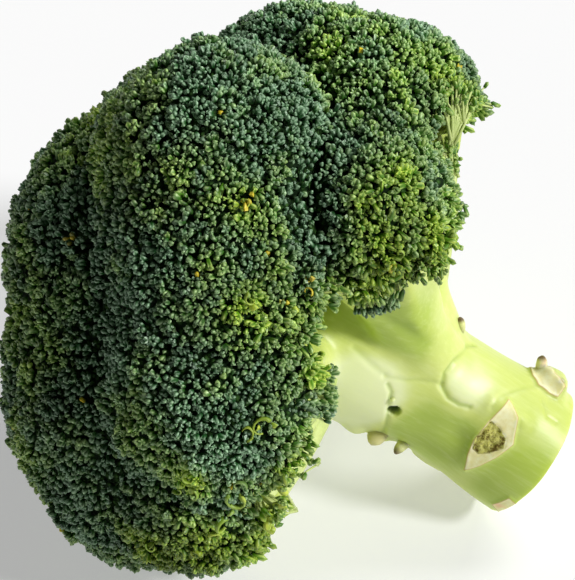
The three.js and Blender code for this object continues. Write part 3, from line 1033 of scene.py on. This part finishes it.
def leaf_stamp():
    """A little leaf, standing up from its foot and curling over."""
    half_width = 0.34
    thickness = 0.1
    cup = 3.017
    lean = 0.55
    tall = 1.15
    droop = 0.3
    bm = ball(8, 6)
    paleness = []
    for vert in bm.verts:
        height = (vert.co.z + 1) / 2
        paleness.append(0.3 + 0.7 * abs(vert.co.x))
        vert.co.x *= half_width
        vert.co.y = thickness * vert.co.y + cup * vert.co.x**2 + lean * height**2
        vert.co.z = height * (tall - droop * height)
    return Stamp("leaflet", bm, paleness)


def curl_stamp():
    """A curled bract: a band that runs most of the way round a ring and gets thinner."""
    width = 1.7
    turn = math.radians(250)
    bm = bmesh.new()
    upright = Matrix.Rotation(math.radians(90), 4, "X")
    ring = bmesh.ops.create_circle(bm, segments=6, radius=0.2, matrix=upright)["verts"]
    bmesh.ops.scale(bm, verts=ring, vec=(1, 1, width))
    bmesh.ops.translate(bm, verts=ring, vec=(1, 0, 0))
    bmesh.ops.spin(bm, geom=bm.verts[:] + bm.edges[:], cent=(0, 0, 0), axis=(0, 0, 1), angle=turn, steps=9)
    bmesh.ops.holes_fill(bm, edges=[edge for edge in bm.edges if edge.is_boundary], sides=0)
    bmesh.ops.recalc_face_normals(bm, faces=bm.faces)
    paleness = []
    for vert in bm.verts:
        angle = math.atan2(vert.co.y, vert.co.x) % math.tau
        share = 0 if angle > turn + 0.3 else angle / turn
        middle = Vector((math.cos(angle), math.sin(angle), 0))
        vert.co = middle * (1 - 0.3 * share) + (vert.co - middle) * (1.15 - 0.75 * share)
        paleness.append(0.25 + 0.4 * share + 0.6 * max(vert.co.z, 0))
    return Stamp("curl", bm, paleness)


def stem_stamp():
    """A thin stem of length 1 that stands on the origin."""
    bm = bmesh.new()
    bmesh.ops.create_cone(bm, cap_ends=True, segments=5, radius1=1.25, radius2=0.8, depth=1)
    bmesh.ops.translate(bm, verts=bm.verts, vec=(0, 0, 0.5))
    return Stamp("stem", bm, 0.8, finish=2)


def branchlet_stamp():
    """A thin branch of length 1, wide where it leaves the thick one and bent a little outwards."""
    bm = ball(8, 7)
    for vert in bm.verts:
        height = math.acos(max(-1, min(1, -vert.co.z))) / math.pi
        across = math.hypot(vert.co.x, vert.co.y)
        wide = (BRANCHLET_FOOT - BRANCHLET_TAPER * height) / across if across > 1e-4 else 0
        vert.co.x = vert.co.x * wide + BRANCHLET_BOW * math.sin(math.pi * height)
        vert.co.y *= wide
        vert.co.z = height
    return Stamp("branchlet", bm, 0.8, finish=2)


def make_stamps():
    return {
        "bud": sepal_stamp("bud", 3, (1.04, 0.68), (0.8, 0.48), 0.9),
        "round": sepal_stamp("round bud", 3, (0.98, 0.6), (0.86, 0.5), 0.98, groove_paleness=0.25, smooth=True),
        "open": sepal_stamp("open bud", 4, (1.14, 0.8), (0.72, 0.4), 0.4),
        "stem": stem_stamp(),
        "branchlet": branchlet_stamp(),
        "leaf": leaf_stamp(),
        "curl": curl_stamp(),
    }


def add_mesh(bm, other):
    """Adds one mesh to another."""
    mesh = bpy.data.meshes.new("other")
    other.to_mesh(mesh)
    other.free()
    bm.from_mesh(mesh)
    bpy.data.meshes.remove(mesh)


def add_stem(bm, stamp, start, end, thick, tone, lime, ripe=0.0):
    """One thin stem from a start to an end, and the way that it points."""
    away = end - start
    reach = np.linalg.norm(away)
    stamp.put(bm, start, away / reach, 0, (thick, thick, reach), tone, lime, ripe)
    return away / reach


def add_branchlet(bm, floret, stamp, root):
    """One thin branch, from inside the floret's own branch to the root of a cluster's stems."""
    random = floret.random
    start = floret.branch_place(random.uniform(*BRANCHLET_STARTS))
    reach = np.linalg.norm(root - start)
    facing = (root - start) / reach
    outward = turn_to(facing).inverted() @ Vector(root - floret.branch_place(BRANCH_END))
    spin = math.atan2(outward.y, outward.x)
    thick = BRANCHLET_RADIUS * random.uniform(*BRANCHLET_WIDTHS)
    grow = (thick, thick, reach + BRANCHLET_OVERLAP)
    stamp.put(bm, start, facing, spin, grow, random.uniform(*BRANCHLET_TONES), STEM_LIME)


def add_buds(bm, floret, stamps):
    """The floret's buds, with the stems and thin branches under its outer ones."""
    random = floret.random
    floret.scatter()
    floret.colour()
    roots = {}
    for k, place in enumerate(floret.places):
        facing, lime, rim = floret.facings[k], floret.lime[k], floret.rim[k]
        size = 1 + CLUMP_SIZES * floret.clumps.size[floret.clump[k]] + random.uniform(-BUD_SIZES, BUD_SIZES)
        stamp = stamps["round" if random.random() < ROUND_SHARE else "bud"]
        long = BUD_LENGTH + RIM_LONGER * rim
        if floret.open[k]:
            stamp = stamps["open"]
            long = OPEN_LENGTH
            size *= OPEN_RADIUS
        else:
            size *= BUD_RADIUS * (1 + LIME_BIGGER * lime)
        length = size * long * random.uniform(*BUD_LENGTHS)
        if lime > LONG_ABOVE and random.random() < LONG_SHARE:
            length *= random.uniform(*LONG_LENGTHS)
            facing = unit(facing + random.normal(0, LONG_LEAN, 3))
        grow = (size * random.uniform(*BUD_WIDTHS), size, length)
        stamp.put(bm, place, facing, random.uniform(0, 6.28), grow, floret.tone[k], lime, floret.ripe[k])
        if rim > STEMS_SHOW_ABOVE and floret.depth < STEMS_SHOW_DEPTH:
            cluster = floret.cluster[k]
            root = roots.setdefault(cluster, floret.stem_root(cluster))
            foot = place - facing * length * STEM_END
            thick = STEM_RADIUS * random.uniform(*STEM_WIDTHS)
            add_stem(bm, stamps["stem"], root, foot, thick, random.uniform(*STEM_TONES), STEM_LIME)
    for root in roots.values():
        bare = any(np.linalg.norm(root - middle) < reach for middle, reach in SMOOTH_BRANCHES)
        if not bare and zoned(root[None], HANGS)[0] < HANG_COVERS:
            add_branchlet(bm, floret, stamps["branchlet"], root)


def belongs(place, floret):
    """Whether a place is nearest to this floret."""
    return depths(np.array([place], float)).argmin() == floret.index


def crown_facing(place, floret):
    """The way that the crown faces at a place."""
    return crown_surface(unit(np.array([place], float) - floret.centre), floret.index)[1][0]


def add_sprays(bm, floret, stamps):
    """The single stems whose tips lie nearest to this floret."""
    random = floret.random
    for root, tips, thick, count in SPRAYS:
        for tip in tips:
            if not belongs(tip, floret):
                continue
            start = np.array(root, float) + random.normal(0, SPRAY_ROOTS * thick, 3)
            tip = np.array(tip, float)
            way = add_stem(bm, stamps["stem"], start, tip, thick, 0.6, 0.95, 0.08)
            for _ in range(count):
                facing = unit(way + random.normal(0, SPRAY_LEAN, 3))
                size = random.uniform(*SPRAY_BUDS)
                place = tip + (count > 1) * random.normal(0, SPRAY_SPREAD, 3)
                grow = (size, size, SPRAY_BUD_LENGTH * size)
                stamps["round"].put(bm, place, facing, random.uniform(0, 6.28), grow, 0.5, 0.7)


def add_curls(bm, floret, stamps):
    for place, radius, spin, lime, ripe in CURLS:
        if belongs(place, floret):
            normal = crown_facing(place, floret)
            facing = unit(normal + floret.random.normal(0, CURL_LEAN, 3))
            foot = np.array(place) - CURL_SINK * normal
            stamps["curl"].put(bm, foot, facing, spin, radius * CURL_SHAPE, 0.45, lime, ripe)


def add_leaflets(bm, floret, stamps):
    for place, length, side, pale in LEAFLETS:
        if belongs(place, floret):
            normal = crown_facing(place, floret)
            facing = unit(normal + LEAF_LEAN * side * unit(np.cross(normal, (0, 0, 1))))
            foot = np.array(place) - LEAF_SINK * normal
            grow = LEAF_SIZE * length
            stamps["leaf"].put(bm, foot, facing, 3 * side, grow, 0.35 + 0.3 * pale, 1.0, 0.2 * pale)


def add_core(bm, floret):
    """What shows between the buds: the node's own body, brought up close under them."""
    core = bmesh.new()
    core.from_mesh(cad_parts[floret.node].data)
    bmesh.ops.remove_doubles(core, verts=core.verts, dist=1e-6)
    away = local_places(core) - floret.centre
    distance = np.linalg.norm(away, axis=1)
    outer = distance > CORE_OUTER_SHARE * floret.radius
    rows = away / distance[:, None]
    surface, _ = crown_surface(rows, floret.index)
    bare = near_any(surface, BARE_PATCHES)
    moved = to_world(surface - rows * (CORE_DEPTH + CORE_BARE_DEPTH * np.minimum(bare, 1))[:, None])
    stemmy = ~outer | (floret.rim_height(surface) < -CORE_STEMS_BELOW) | (bare > CORE_STEMS_BARE)
    for vert, out, place in zip(core.verts, outer, moved):
        if out:
            vert.co = Vector(place) * MM
            vert.co.z = max(vert.co.z, CORE_FLOOR_GAP * MM)
    for face in core.faces:
        face.smooth = True
        # Finish 1 is the dark painted shade between the buds, and finish 2 the pale stems.
        face.material_index = 2 if all(stemmy[vert.index] for vert in face.verts) else 1
    add_mesh(bm, core)


def link(bm, name, materials, node):
    """Makes a piece of a mesh, which stands for a node of the frame."""
    mesh = bpy.data.meshes.new(name)
    bm.to_mesh(mesh)
    bm.free()
    for material in materials:
        mesh.materials.append(material)
    piece = bpy.data.objects.new(name, mesh)
    bpy.context.scene.collection.objects.link(piece)
    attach(piece, "root")
    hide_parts(node)


def make_florets():
    skins = [bud_finish(), core_painted_shade_finish(), stem_finish()]
    stamps = make_stamps()
    for index, node in enumerate(FLORETS):
        floret = Floret(node, index)
        bm = bmesh.new()
        for add in (add_buds, add_sprays, add_curls, add_leaflets):
            add(bm, floret, stamps)
        add_core(bm, floret)
        link(bm, node.replace("floret", "buds"), skins, node)
    for stamp in stamps.values():
        bpy.data.meshes.remove(stamp.mesh)


def line_distance(places, points):
    """How far each place is from a line through some points."""
    best = np.full(len(places), 1e9)
    points = np.array(points, float)
    for start, end in zip(points[:-1], points[1:]):
        along = end - start
        share = np.clip(((places - start) @ along) / (along @ along), 0, 1)
        best = np.minimum(best, np.linalg.norm(places - start - share[:, None] * along, axis=1))
    return best


def inside_distance(flat, corners):
    """How far inside an outline each flat place is, in mm, with a minus sign outside."""
    corners = np.array([(math.radians(angle) * STALK_RADIUS, height) for angle, height in corners])
    loop = np.concatenate([corners, corners[:1]])
    inside = np.zeros(len(flat), bool)
    for start, end in zip(loop[:-1], loop[1:]):
        crosses = (start[1] > flat[:, 1]) != (end[1] > flat[:, 1])
        rise = end[1] - start[1] if abs(end[1] - start[1]) > 1e-9 else 1e-9
        where = start[0] + (flat[:, 1] - start[1]) * (end[0] - start[0]) / rise
        inside ^= crosses & (flat[:, 0] < where)
    three = np.pad(loop, ((0, 0), (0, 1)))
    distance = line_distance(np.pad(flat, ((0, 0), (0, 1))), three)
    return np.where(inside, distance, -distance)


def on_outline(places, corners):
    """The same for places on the stalk, wherever the outline lies round it."""
    around = np.degrees(np.arctan2(places[:, 1], places[:, 0]))
    middle = np.mean([angle for angle, _ in corners])
    around = middle + (around - middle + 180) % 360 - 180
    flat = np.stack([np.radians(around) * STALK_RADIUS, places[:, 2]], 1)
    return inside_distance(flat, corners)


def even_copy(bm, voxel):
    """A closed mesh made again from small even squares."""
    mesh = bpy.data.meshes.new("uneven")
    bm.to_mesh(mesh)
    bm.free()
    holder = bpy.data.objects.new("holder", mesh)
    bpy.context.scene.collection.objects.link(holder)
    remesh = holder.modifiers.new("even skin", "REMESH")
    remesh.mode = "VOXEL"
    remesh.voxel_size = voxel * MM
    even = bpy.data.meshes.new_from_object(holder.evaluated_get(bpy.context.evaluated_depsgraph_get()))
    bm = bmesh.new()
    bm.from_mesh(even)
    bpy.data.objects.remove(holder)
    bpy.data.meshes.remove(even)
    bpy.data.meshes.remove(mesh)
    return bm


def smooth_over(bm, times):
    axes = {"use_axis_x": True, "use_axis_y": True, "use_axis_z": True}
    for _ in range(times):
        bmesh.ops.smooth_vert(bm, verts=bm.verts, factor=0.5, **axes)


def close_ends(bm):
    """Fills every open edge, and gives the faces that do it."""
    return bmesh.ops.holes_fill(bm, edges=[edge for edge in bm.edges if edge.is_boundary], sides=0)["faces"]


def cut_plane(bm):
    """The plane of the knife cut across the stalk's end: its middle and the way it faces."""
    axis = -turned[:, 2]
    low = []
    for face in bm.faces:
        if np.dot(face.normal, axis) > 0.97 and to_local(face.calc_center_median())[2] < CUT_HEIGHT:
            low.append(face)
    area = sum(face.calc_area() for face in low)
    middle = sum((face.calc_center_median() * face.calc_area() for face in low), Vector()) / area
    facing = sum((face.normal * face.calc_area() for face in low), Vector()).normalized()
    return middle, facing


def bisect(bm, middle, facing, **keep):
    geometry = bm.verts[:] + bm.edges[:] + bm.faces[:]
    bmesh.ops.bisect_plane(bm, geom=geometry, dist=1e-7, plane_co=middle, plane_no=facing, **keep)


def shape_stalk(bm):
    """Folds, swellings and scars in the skin, and the marks that the finish reads."""
    places = local_places(bm)
    height = places[:, 2]
    bm.normal_update()
    normals = np.array([vert.normal for vert in bm.verts]) @ turned
    push = zoned(places, STALK_SWELLS)
    fold = np.zeros(len(places))
    for depth, width, points in FOLDS:
        distance = line_distance(places, points)
        push -= depth * np.exp(-((distance / width) ** 2))
        # Painted shade along each fold, darker for deeper folds.
        fold_shade = np.exp(-((distance / (width * FOLD_SHADE_WIDTH)) ** 2))
        fold = np.maximum(fold, min(depth * FOLD_SHADE, 1) * fold_shade)
    around = np.arctan2(places[:, 1], places[:, 0])
    ripples = sum(rise * np.sin(count * around + twist * height) for rise, count, twist in RIPPLES)
    push += smooth_step(-height, *RIPPLES_BEGIN) * ripples
    away = np.hypot(places[:, 0], places[:, 1])
    on_skin = (away > SKIN_REACH[0]) & (away < SKIN_REACH[1]) & (height < SKIN_TOP)
    scar = np.zeros(len(places))
    for out, corners in SCARS:
        inside = on_outline(places, corners)
        amount = smooth_step(inside, *SCAR_EDGE) * on_skin
        push += out * amount + LIP_HEIGHT * np.exp(-((inside / LIP_WIDTH) ** 2)) * on_skin
        scar = np.maximum(scar, amount)
    rough = np.zeros(len(places))
    grain = np.array([noise.noise(Vector(place) * ROUGH_GRAIN) for place in places])
    for deep, corners in ROUGH_PATCHES:
        amount = smooth_step(on_outline(places, corners), *ROUGH_EDGE) * on_skin
        push += amount * (ROUGH_HEIGHT * grain - deep)
        rough = np.maximum(rough, amount)
    hole = np.zeros(len(places))
    for middle, radius, deep in HOLES:
        amount = smooth_step(radius - np.linalg.norm(places - np.array(middle), axis=1), *HOLE_EDGE)
        push -= deep * amount
        hole = np.maximum(hole, amount)
    # The paleness, with the painted highlight and painted shade from the tints.
    pale = PALE_LEVEL + zoned(places, STALK_TINTS_AND_PAINTED_LIGHT)
    pale -= PALE_LOST * smooth_step(height, *PALE_FADE)
    moved = to_world(places + normals * push[:, None]) * MM
    for vert, place in zip(bm.verts, moved):
        vert.co = place
        vert.co.z = max(vert.co.z, 0)
    return np.stack([pale, fold, scar, rough, hole], 1)


def near_detail(places, cut_off):
    """Which places are close enough to a fold, a scar, a hole or the cut to need a finer skin."""
    close = np.abs(cut_off) < DETAIL_REACH
    for _, width, points in FOLDS:
        close |= line_distance(places, points) < FOLD_MARGIN + FOLD_REACH * width
    for _, corners in SCARS + ROUGH_PATCHES:
        close |= (on_outline(places, corners) > -DETAIL_REACH) & (places[:, 2] < SKIN_TOP)
    for middle, radius, _ in HOLES:
        close |= np.linalg.norm(places - np.array(middle), axis=1) < radius + HOLE_MARGIN
    return close


def add_nubs(bm, skin_layer, marks_layer):
    for middle, way, radius, length, dark, flesh in NUBS:
        turn = Matrix(turned.tolist()) @ turn_to(Vector(way).normalized())
        up = turn @ Vector((0, 0, 1))
        place = in_metres(middle)
        size = Matrix.Diagonal((radius * MM, radius * MM, length * MM, 1))
        matrix = Matrix.Translation(place) @ turn.to_4x4() @ size
        nub = bmesh.ops.create_uvsphere(bm, u_segments=14, v_segments=10, radius=1, matrix=matrix)["verts"]
        for vert in nub:
            height = (vert.co - place).dot(up) / (length * MM)
            lump = NUB_LUMPS * radius * noise.noise(vert.co / (NUB_LUMP_SIZE * MM))
            vert.co += (vert.co - place).normalized() * lump * MM
            vert[skin_layer] = (0.7, 0.2, flesh, 1)
            vert[marks_layer] = (0.4 * dark, 0, dark * max(0, (height - 0.1) * 1.3), 1)
            for face in vert.link_faces:
                face.smooth = True


def make_stalk():
    """The stalk: a fine skin with its marks up to the branches, and the plain upper part behind the buds."""
    bm = bmesh.new()
    bm.from_mesh(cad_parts["stalk"].data)
    bmesh.ops.remove_doubles(bm, verts=bm.verts, dist=1e-6)
    bm.normal_update()
    cut_middle, cut_facing = cut_plane(bm)
    for vert in bm.verts:
        if (vert.co - cut_middle).dot(cut_facing) > -1e-5:
            vert.co += cut_facing * CUT_STUB * MM
    high = bm.copy()
    axis = Vector(turned[:, 2])
    bisect(bm, in_metres((0, 0, STALK_SPLIT)), axis, clear_outer=True)
    bisect(high, in_metres((0, 0, STALK_SPLIT - STALK_OVERLAP)), axis, clear_inner=True)
    close_ends(bm)
    close_ends(high)
    bm = even_copy(bm, STALK_VOXEL)
    smooth_over(bm, SMOOTH_BEFORE)
    cut_off = np.array([(vert.co - cut_middle).dot(cut_facing) for vert in bm.verts]) / MM
    fine = {vert for vert, close in zip(bm.verts, near_detail(local_places(bm), cut_off)) if close}
    edges = [edge for edge in bm.edges if fine.issuperset(edge.verts)]
    bmesh.ops.subdivide_edges(bm, edges=edges, cuts=2, use_grid_fill=True)
    smooth_over(bm, SMOOTH_AFTER)
    marks = shape_stalk(bm)
    skin_layer = bm.verts.layers.float_color.new("skin")
    marks_layer = bm.verts.layers.float_color.new("marks")
    hole_layer = bm.verts.layers.float.new("hole")
    for vert, (pale, fold, scar, rough, hole) in zip(bm.verts, marks):
        vert[skin_layer] = (pale, fold, scar, 1)
        vert[marks_layer] = (rough, 0, 0, 1)
        vert[hole_layer] = hole
    bisect(bm, cut_middle, cut_facing, clear_outer=True)
    ends = close_ends(bm)
    bmesh.ops.inset_region(bm, faces=ends, thickness=CUT_BAND * MM, depth=0)
    for face in bm.faces:
        face.smooth = True
    for face in ends:
        face.smooth = False
        for vert in face.verts:
            vert[marks_layer] = (0, 1, 0, 1)
    add_nubs(bm, skin_layer, marks_layer)
    add_mesh(bm, high)
    link(bm, "stalk_skin", [stalk_finish()], "stalk")


# How far the floor lies under the head, so that the two don't flicker.
FLOOR_GAP = 0.2


def make_floor():
    bm = bmesh.new()
    bmesh.ops.create_grid(bm, x_segments=1, y_segments=1, size=4)
    mesh = bpy.data.meshes.new("floor")
    bm.to_mesh(mesh)
    bm.free()
    graph = Graph("pale floor")
    mesh.materials.append(graph.finish(
        Base_Color=(0.6, 0.6, 0.6), Roughness=0.9, Emission_Color=(1, 1, 1), Emission_Strength=0.4))
    floor = bpy.data.objects.new("floor", mesh)
    floor.location.z = -FLOOR_GAP * MM
    bpy.context.scene.collection.objects.link(floor)


# The camera, in degrees and mm: how it looks down on the head, from how far, how far the middle of its
# picture is from the rim's middle, and how high its view is there.
CAMERA_AZIMUTH = 11.5
CAMERA_ELEVATION = 40
CAMERA_DISTANCE = 620
CAMERA_RIGHT = -13.56
CAMERA_UP = 10.56
VIEW_HEIGHT = 139.2
SENSOR = 36

# The lights: how far to the right, up and to the front each one stands, how strong and how soft it is.
LIGHTS = [
    ("key", 1, 0.3, 0.75, 2.95, 12),
    ("top", 0.5, 1, 0.1, 1.5, 25),
]


def camera_axes():
    azimuth, elevation = math.radians(CAMERA_AZIMUTH), math.radians(CAMERA_ELEVATION)
    right = Vector((math.cos(azimuth), math.sin(azimuth), 0))
    level = Vector((math.sin(azimuth), -math.cos(azimuth), 0))
    back = level * math.cos(elevation) + Vector((0, 0, math.sin(elevation)))
    return right, back.cross(right), back


def make_camera():
    right, up, back = camera_axes()
    data = bpy.data.cameras.new("camera")
    data.sensor_width = SENSOR
    data.lens = SENSOR * CAMERA_DISTANCE / VIEW_HEIGHT
    camera = bpy.data.objects.new("camera", data)
    place = (rim + back * CAMERA_DISTANCE + right * CAMERA_RIGHT + up * CAMERA_UP) * MM
    camera.matrix_world = Matrix.Translation(place) @ Matrix((right, up, back)).transposed().to_4x4()
    bpy.context.scene.collection.objects.link(camera)
    bpy.context.scene.camera = camera


def make_lights():
    right, up, back = camera_axes()
    for name, side, rise, front, strength, soft in LIGHTS:
        sun = bpy.data.lights.new(name, "SUN")
        sun.energy = strength
        sun.angle = math.radians(soft)
        lamp = bpy.data.objects.new(name, sun)
        out = right * side + up * rise + back * front
        lamp.matrix_world = out.to_track_quat("Z", "Y").to_matrix().to_4x4()
        bpy.context.scene.collection.objects.link(lamp)
    world = bpy.data.worlds.new("studio")
    world.use_nodes = True
    world.node_tree.nodes["Background"].inputs["Color"].default_value = (1, 1, 1, 1)
    world.node_tree.nodes["Background"].inputs["Strength"].default_value = 0.05
    bpy.context.scene.world = world
    bpy.context.scene.view_settings.view_transform = "Standard"


make_camera()
make_lights()
make_floor()
make_florets()
make_stalk()
